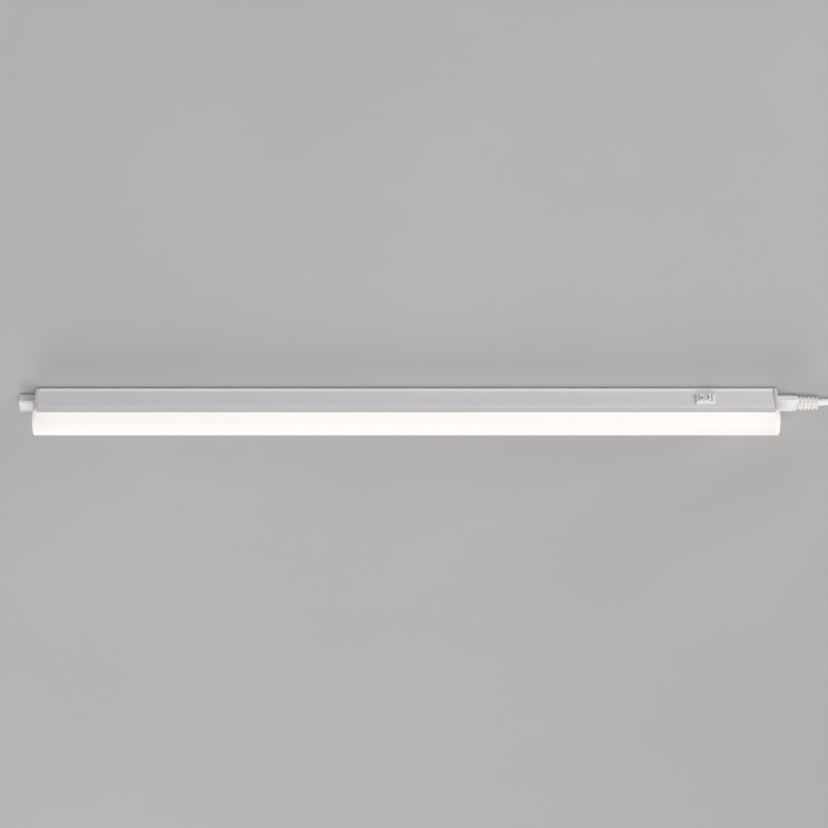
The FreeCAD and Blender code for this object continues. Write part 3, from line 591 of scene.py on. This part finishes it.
def mirrored_copy(piece, name):
    """The same piece for the other end."""
    other = own_copy(piece)
    other.name = other.data.name = name
    select_only(other)
    if other.data.has_custom_normals:
        bpy.ops.mesh.customdata_custom_splitnormals_clear()
    other.data.transform(Matrix.Scale(-1, 4, (1, 0, 0)))
    close_mesh(other)
    flatten(other)
    return other


link_cap = mirrored_copy(cap, "link_cap")
cap_plastic = lit_plastic(
    "cap_moulding",
    colour=(0.67, 0.66, 0.65),
    glow=(1.0, 0.87, 0.75),
    strength=0.34,
    dim=(-21.5, 0.0),
    lit_z=-25.5,
    low=(-36.0, 1.0),
    fade_from=282,
    fade_to=290,
    fade_share=0.9,
)
fit(cap, "lamp", "white_plastic", cap_plastic, "feed_end_cap")
fit(link_cap, "lamp", "white_plastic", cap_plastic, "link_end_cap")


# Cap screws: zinc plated pan head screws with a cross recess, driven into the profile's ports.
# Inlet pins: plain brass rods with domed tips, two in each cap.
def spun(name, points, axis, centre, steps=32):
    """A round piece turned from (along, radius) points about an axis, in millimetres."""
    place = Vector(centre) * mm
    heading = Vector([float(index == axis) for index in range(3)])
    aside = Vector((0, 0, 1)) if axis == along_x else Vector((1, 0, 0))
    bpy.ops.object.select_all(action="DESELECT")
    bpy.ops.mesh.primitive_circle_add(vertices=len(points))
    piece = bpy.context.active_object
    piece.name = piece.data.name = name
    for vertex, (along, radius) in zip(piece.data.vertices, points):
        vertex.co = place + heading * along * mm + aside * radius * mm
    last = len(points) - 1
    pick = [set(edge.vertices) == {0, last} for edge in piece.data.edges]
    bpy.ops.object.mode_set(mode="EDIT")
    bpy.ops.mesh.select_mode(type="EDGE")
    bpy.ops.mesh.select_all(action="DESELECT")
    bpy.ops.object.mode_set(mode="OBJECT")
    for edge, chosen in zip(piece.data.edges, pick):
        edge.select = chosen
    bpy.ops.object.mode_set(mode="EDIT")
    bpy.ops.mesh.delete(type="EDGE")
    bpy.ops.mesh.select_all(action="SELECT")
    bpy.ops.mesh.spin(steps=steps, angle=2 * math.pi, center=place, axis=heading)
    bpy.ops.object.mode_set(mode="OBJECT")
    close_mesh(piece)
    smooth(piece, 35)
    return piece


def moved_copy(piece, travel):
    """A copy of the piece, moved in millimetres."""
    other = own_copy(piece)
    other.data.transform(Matrix.Translation(Vector(travel) * mm))
    return other


thread_turns, thread_pitch = 17, 0.62
root_start, root_radius, crest_start, crest_radius = 273.6, 1.0, 273.91, 1.2
thread = []
for turn in range(thread_turns):
    advance = turn * thread_pitch
    thread += [(root_start + advance, root_radius), (crest_start + advance, crest_radius)]
screw_tip = [(272.85, 0), (273.2, 0.9)]
screw_neck = [(284.6, 1.2), (284.85, 1.2)]
screw_head = [(284.85, 2.5), (285.3, 2.5), (285.75, 2.3), (286.1, 1.85), (286.25, 1.2), (286.25, 0)]
recess_x, recess_long, recess_narrow = (285.4, 287), 1.35, 0.3
screw_line = screw_tip + thread + screw_neck + screw_head
screw = spun("screw", screw_line, along_x, (0, -port[0], port[1]), 28)
for half_y, half_z in ((recess_long, recess_narrow), (recess_narrow, recess_long)):
    cut(screw, block("recess", recess_x, around(-port[0], half_y), around(port[1], half_z)))
screws = [screw, moved_copy(screw, (0, 2 * port[0], 0))]
screws += [mirrored_copy(one, "screw_far") for one in screws]
cap_screws = joined("cap_screws", screws)
zinc = surface("zinc_plate", (0.62, 0.62, 0.60), 0.3, 0.06, 1500, 0.03, metallic=1.0)
fit(cap_screws, "lamp", "steel", zinc, "end_cap_screws")

pin_line = [(272.3, 0), (272.3, 0.7), (272.4, 0.8), (284.0, 0.8), (284.3, 0.62), (284.46, 0.34), (284.5, 0)]
pin = spun("pin", pin_line, along_x, (0, -pin_y, pin_z), 20)
feed_pins = joined("feed_inlet_pins", [pin, moved_copy(pin, (0, 2 * pin_y, 0))])
link_pins = mirrored_copy(feed_pins, "link_inlet_pins")
fit(feed_pins, "lamp", "brass", contact_brass, "feed_pins")
fit(link_pins, "lamp", "brass", contact_brass, "link_pins")


# Inlet cover: a moulded stopper pressed into the spare inlet at the link end, with rounded
# edges and two shallow parting grooves along its underside.
plug_in_gap = 0.1
cover_x, cover_y, cover_z = (cap_end + plug_in_gap, cap_end + 13), (-5.75, 5.75), (-9, -1)
cover_round = 0.9
parting_x, parting_y, parting_z = (286, 300), (4.05, 4.55), (-10, -8.5)
nose_x, nose_y, nose_z, nose_round = (278.3, cap_end + 0.6), (-4.6, 4.6), (-8.2, -4.8), 0.4
pin_bore_x, pin_bore, pin_bore_length = 282, 1.15, 9


def outside_cap(a, b):
    return max(a.x, b.x) > cap_end + 1


def nose_end(a, b):
    return max(a.x, b.x) < 279


def fit_inlet(piece):
    """Adds the tongue that enters an inlet pocket and bores a hole for each pin."""
    nose = block("nose", nose_x, nose_y, nose_z)
    round_edges(nose, nose_round, 2, nose_end)
    add(piece, nose)
    for hand in (-1, 1):
        place = (pin_bore_x, hand * pin_y, pin_z)
        cut(piece, rod("pin_bore", place, pin_bore, pin_bore_length, along_x, 24))


cover = block("inlet_cover", cover_x, cover_y, cover_z)
round_edges(cover, cover_round, 5, outside_cap)
for hand in (-1, 1):
    cut(cover, block("groove", parting_x, to_side(hand, parting_y), parting_z))
fit_inlet(cover)
cover.data.transform(Matrix.Scale(-1, 4, (1, 0, 0)))
close_mesh(cover)
break_edges(cover, 0.1)
cover_plastic = surface("cover_moulding", (0.80, 0.785, 0.79), 0.38, 0.025, 1400, 0.03)
fit(cover, "cover", "white_plastic", cover_plastic, "link_cover")


# Lead connector: a flat moulded plug on the supply lead that enters the feed inlet, with two
# contact sleeves inside. It narrows a little towards the strain relief.
connector_x, connector_y, connector_z = (cap_end + plug_in_gap, cap_end + 16.8), (-6.2, 6.2), (-8.4, -2.8)
connector_round = 0.7
taper_x, taper_width, taper_rise = 298, 0.92, 0.8


def connector_edge(a, b):
    """The edges outside the cap, apart from the ring where the taper starts."""
    on_ring = max(abs(a.x - taper_x), abs(b.x - taper_x)) < 0.1
    return outside_cap(a, b) and not on_ring


connector = block("lead_plug", connector_x, connector_y, connector_z)
select_only(connector)
bpy.ops.object.mode_set(mode="EDIT")
bpy.ops.mesh.select_all(action="SELECT")
bpy.ops.mesh.bisect(plane_co=(taper_x * mm, 0, 0), plane_no=(1, 0, 0))
bpy.ops.object.mode_set(mode="OBJECT")
for vertex in connector.data.vertices:
    if vertex.co.x > (taper_x + 1) * mm:
        vertex.co.y *= taper_width
        if vertex.co.z < sum(connector_z) / 2 * mm:
            vertex.co.z += taper_rise * mm
round_edges(connector, connector_round, 5, connector_edge)
fit_inlet(connector)
close_mesh(connector)
break_edges(connector, 0.1)
lead_plastic = surface("soft_white_plastic", (0.85, 0.835, 0.82), 0.45, 0.03, 1100, 0.04)
fit(connector, "lead", "lead_white", lead_plastic, "lead_connector")
nodes["lead_sleeves"].data.materials[0] = contact_brass


# Strain relief: soft moulded rings on a slimmer core, each a little smaller than the last. Webs
# tie them together on both sides of every gap, and above and below in every other gap.
lead_z = -5.6
relief_start, relief_end, relief_pitch = 303.3, 318.5, 3.04
ring_count, ring_radius, ring_narrowing = 5, 5.4, 0.4
ring_form = [(0, 1.4), (1.54, 1.4), (1.54, 0.3), (1.68, 0.08), (1.85, 0), (2.73, 0), (2.9, 0.08)]
ring_form += [(relief_pitch, 0.3)]
web_before, web_after, web_half, web_sunk = 0.3, 1.9, 0.8, 0.45
relief_rings = []
relief_line = [(relief_start, 0)]
for index in range(ring_count):
    radius = ring_radius - ring_narrowing * index / (ring_count - 1)
    start = relief_start + index * relief_pitch
    relief_rings.append((start, radius))
    relief_line += [(start + along, radius - drop) for along, drop in ring_form]
relief_line += [(relief_end, 0)]
relief = spun("strain_relief_rings", relief_line, along_x, (0, 0, lead_z), 48)
for index, (start, radius) in enumerate(relief_rings):
    web_x = (start - web_before, start + web_after)
    reach = radius - web_sunk
    add(relief, block("web", web_x, around(0, reach), around(lead_z, web_half)))
    if index % 2:
        add(relief, block("web", web_x, around(0, web_half), around(lead_z, reach)))
close_mesh(relief)
smooth(relief, 35)
fit(relief, "lead", "lead_white", lead_plastic, "strain_relief")


# Supply lead: a round soft plastic mains flex. It leaves the strain relief, drops away and is
# wound into a flat tied coil, whose end hangs straight down into the plug.
lead_diameter = 0.005
lead_route = [
    (0.3160, 0.0, -0.0056),
    (0.3200, -0.0005, -0.0050),
    (0.3290, -0.0010, -0.0046),
    (0.3440, -0.0010, -0.0056),
    (0.3640, -0.0042, -0.0100),
    (0.3860, -0.0084, -0.0188),
    (0.406785, -0.0084, -0.0308),
]
lead_tail = [(0.428615, 0.0084, -0.0786), (0.428615, 0.0084, -0.093611)]
coil_centre = (0.393615, -0.0084, -0.063611)
coil_layers, layer_turns, steps_in_turn = 4, 2.291667, 16
coil_outer, coil_inner = 0.0354, 0.0226
layer_pitch, climb_turns = 0.0056, 0.5
coil_start = math.radians(60)
coil_steps = round(coil_layers * layer_turns * steps_in_turn)
for step in range(coil_steps + 1):
    turns = coil_layers * layer_turns * step / coil_steps
    layer = min(int(turns / layer_turns), coil_layers - 1)
    share = turns / layer_turns - layer
    inward = share if layer % 2 == 0 else 1 - share
    radius = coil_outer + (coil_inner - coil_outer) * inward
    depth = 0.0
    for reversal in range(1, coil_layers):
        climb = min(max((turns - reversal * layer_turns) / climb_turns + 0.5, 0.0), 1.0)
        depth += climb * climb * (3 - 2 * climb) * layer_pitch
    angle = coil_start - 2 * math.pi * turns
    x = coil_centre[0] + radius * math.cos(angle)
    z = coil_centre[2] + radius * math.sin(angle)
    lead_route.append((x, coil_centre[1] + depth, z))
lead_route += lead_tail
lead_curve = bpy.data.curves.new("supply_lead", "CURVE")
lead_curve.dimensions = "3D"
lead_line = lead_curve.splines.new("NURBS")
lead_line.points.add(len(lead_route) - 1)
for point, place in zip(lead_line.points, lead_route):
    point.co = (*place, 1.0)
lead_line.order_u = 3
lead_line.use_endpoint_u = True
lead_line.resolution_u = 6
lead_curve.bevel_depth = lead_diameter / 2
lead_curve.bevel_resolution = 6
lead_curve.use_fill_caps = True
supply_lead = bpy.data.objects.new("supply_lead", lead_curve)
bpy.context.scene.collection.objects.link(supply_lead)
fit(supply_lead, "lead", "lead_white", lead_plastic, "lead_run", "lead_coil")


# Coil tie: a black woven hook-and-loop strap wrapped once round all the turns of the coil. Its
# free end lies over the start and is pressed down on the outside.
strap_x, strap_y, strap_z = (-4, 4), (-12.3, 12.3), (17.9, 38.9)
strap_bend, strap_thickness = 3.0, 0.9
flap_y, flap_z = (-7.5, 6.0), (38.75, 39.7)
tie_turn = Matrix.Rotation(math.radians(-45), 4, "Y")
tie_place = Matrix.Translation(Vector((coil_centre[0], 0, coil_centre[2]))) @ tie_turn


def across_strap(a, b):
    return abs(a.x - b.x) > 5


strap = block("coil_strap", strap_x, strap_y, strap_z)
select_only(strap)
bpy.ops.object.mode_set(mode="EDIT")
bpy.ops.mesh.select_mode(type="FACE")
bpy.ops.mesh.select_all(action="DESELECT")
bpy.ops.object.mode_set(mode="OBJECT")
for side_face in strap.data.polygons:
    side_face.select = abs(side_face.normal.x) > 0.9
bpy.ops.object.mode_set(mode="EDIT")
bpy.ops.mesh.delete(type="FACE")
bpy.ops.object.mode_set(mode="OBJECT")
round_edges(strap, strap_bend, 6, across_strap)
thicken = strap.modifiers.new("thickness", "SOLIDIFY")
thicken.thickness = strap_thickness * mm
thicken.offset = -1
select_only(strap)
bpy.ops.object.modifier_apply(modifier=thicken.name)
add(strap, block("flap", strap_x, flap_y, flap_z))
close_mesh(strap)
break_edges(strap, 0.25)
strap.data.transform(tie_place)
strap_weave = surface("woven_strap", (0.035, 0.035, 0.04), 0.8, 0.35, 1800, 0.5)
fit(strap, "lead", "tie", strap_weave, "coil_tie")


# Mains plug: a flat two-pin moulding on the end of the lead, with grip grooves on both narrow
# sides and flex grooves at its neck. Its round pins have insulating sleeves next to the body
# and bare plated tips.
plug_x, plug_y, plug_top = 428.615, 8.4, -93.611
plug_height, plug_half_depth, plug_round = 38, 6.85, 2.4
plug_face = plug_top - plug_height
half_line = [(4.6, 0), (5.0, -9), (7.6, -12.6), (15.6, -21.2), (17.65, -25.4), (17.65, -plug_height)]
groove_pitch, groove_half, groove_reach = 2.2, 0.5, 9
grip_x, grip_levels = (17.0, 20), [plug_face + 3.2 + index * groove_pitch for index in range(4)]
flex_x, flex_levels = (4.0, 8), [plug_top - 2.4 - index * groove_pitch for index in range(3)]
pin_offset = 9.3
sleeve_line = [(0, 0), (0, 1.9), (-9.6, 1.9), (-10.0, 1.82), (-10.0, 0)]
tip_line = [(-9.9, 0), (-9.9, 1.72), (-10.1, 2.0), (-17.6, 2.0), (-18.4, 1.7), (-18.85, 1.05), (-19.0, 0)]


def plug_edge(a, b):
    """The edges of the two broad sides, apart from those at the pin face."""
    return abs(a.y - b.y) < 0.1 and max(a.z, b.z) > plug_face + 0.1


plug_line = [(plug_x + x, plug_top + z) for x, z in half_line]
plug_line += [(plug_x - x, plug_top + z) for x, z in reversed(half_line)]
plug = pulled("lead_end_plug", [plug_line], along_y, *around(plug_y, plug_half_depth))
round_edges(plug, plug_round, 6, plug_edge)
for name, span, levels in (("grip", grip_x, grip_levels), ("flex", flex_x, flex_levels)):
    for z in levels:
        for hand in (-1, 1):
            groove_x = [plug_x + value for value in to_side(hand, span)]
            cut(plug, block(name, groove_x, around(plug_y, groove_reach), around(z, groove_half)))
close_mesh(plug)
break_edges(plug, 0.2)
fit(plug, "lead", "lead_white", lead_plastic, "mains_plug")

plated = surface("nickel_plate", (0.66, 0.65, 0.62), 0.2, 0.05, 1200, 0.02, metallic=1.0)
sleeve_white = surface("pin_sleeve", (0.74, 0.73, 0.71), 0.4, 0.04, 1200, 0.03)
sleeves, tips = [], []
for hand in (-1, 1):
    place = (plug_x + hand * pin_offset, plug_y, plug_face)
    sleeves.append(spun("sleeve", sleeve_line, along_z, place, 28))
    tips.append(spun("tip", tip_line, along_z, place, 28))
pin_sleeves = joined("plug_pin_sleeves", sleeves)
pin_tips = joined("plug_pin_tips", tips)
fit(pin_tips, "lead", "plated_pin", plated, "plug_pins")
fit(pin_sleeves, "lead", "lead_white", sleeve_white)


# Stage: a plain pale ceiling that shows only from below and fades into a pale backdrop, soft
# lamps all round and the camera looking up at the front face. The ceiling stops no shadow or
# reflection rays, so that the clips and the back channel are lit from above.
def mixed(tree, share, first, second, output):
    """Mixes two shaders by a share and gives the result to the output node."""
    choice = tree.nodes.new("ShaderNodeMixShader")
    tree.links.new(share, choice.inputs["Fac"])
    tree.links.new(first.outputs[0], choice.inputs[1])
    tree.links.new(second.outputs[0], choice.inputs[2])
    tree.links.new(choice.outputs["Shader"], tree.nodes[output].inputs["Surface"])


ceiling_size, ceiling_gap = 4, 0.8
rim_start, rim_end = 900, 1900
bpy.ops.object.select_all(action="DESELECT")
bpy.ops.mesh.primitive_plane_add(
    size=ceiling_size, location=(0, 0, ceiling_gap * mm), rotation=(math.pi, 0, 0)
)
bpy.ops.object.transform_apply(location=True, rotation=True, scale=True)
ceiling = bpy.context.active_object
ceiling.name = "ceiling"
plaster = surface("ceiling_plaster", (0.465, 0.457, 0.449), 0.9, 0.02, 60, 0.02)
tree = plaster.node_tree
sides = tree.nodes.new("ShaderNodeNewGeometry")
clear = tree.nodes.new("ShaderNodeBsdfTransparent")
ray = tree.nodes.new("ShaderNodeLightPath")
place = tree.nodes.new("ShaderNodeTexCoord")
away = tree.nodes.new("ShaderNodeVectorMath")
away.operation = "LENGTH"
tree.links.new(place.outputs["Object"], away.inputs[0])
rim = eased(tree, away.outputs["Value"], rim_start, rim_end, 0.0, 1.0)
open_rays = [ray.outputs[name] for name in ("Is Shadow Ray", "Is Glossy Ray")]
opened = chained(tree, "MAXIMUM", sides.outputs["Backfacing"], rim, *open_rays)
mixed(tree, opened, tree.nodes["Principled BSDF"], clear, "Material Output")
ceiling.data.materials.append(plaster)

world = bpy.data.worlds.new("room_light")
bpy.context.scene.world = world
world.use_nodes = True
tree = world.node_tree
room = tree.nodes["Background"]
room.inputs["Color"].default_value = (0.22, 0.22, 0.228, 1)
backdrop = tree.nodes.new("ShaderNodeBackground")
backdrop.inputs["Color"].default_value = (0.47, 0.468, 0.464, 1)
ray = tree.nodes.new("ShaderNodeLightPath")
pale_rays = [ray.outputs[name] for name in ("Is Camera Ray", "Is Glossy Ray", "Is Transmission Ray")]
mixed(tree, chained(tree, "MAXIMUM", *pale_rays), room, backdrop, "World Output")


def soft_lamp(name, place, aim, size, watts):
    """A square lamp turned towards its aim."""
    lamp = bpy.data.lights.new(name, "AREA")
    lamp.size = size
    lamp.energy = watts
    holder = bpy.data.objects.new(name, lamp)
    holder.location = place
    holder.rotation_euler = (Vector(aim) - Vector(place)).to_track_quat("-Z", "Y").to_euler()
    bpy.context.scene.collection.objects.link(holder)


soft_lamp("key", (2.1, -1.4, -0.45), (0.1, 0, 0), size=0.9, watts=29)
soft_lamp("fill", (0.0, -0.35, -2.2), (0, 0, 0), size=1.6, watts=30)
soft_lamp("back", (-0.6, 1.8, -1.0), (0, 0, 0), size=1.4, watts=17)
soft_lamp("above", (0.2, 0.5, 1.6), (0, 0, 0), size=1.4, watts=8)

target = Vector((0.006, -0.0116, -0.0287))
towards_camera, camera_distance = Vector((0, -1, -1)).normalized(), 1.924
sensor_half, half_view = 18, math.radians(18.7 / 2)
camera_data = bpy.data.cameras.new("camera")
camera_data.lens = sensor_half / math.tan(half_view)
camera = bpy.data.objects.new("camera", camera_data)
camera.location = target + towards_camera * camera_distance
camera.rotation_euler = (math.radians(135), 0, 0)
bpy.context.scene.collection.objects.link(camera)
bpy.context.scene.camera = camera
bpy.context.scene.view_settings.view_transform = "Standard"
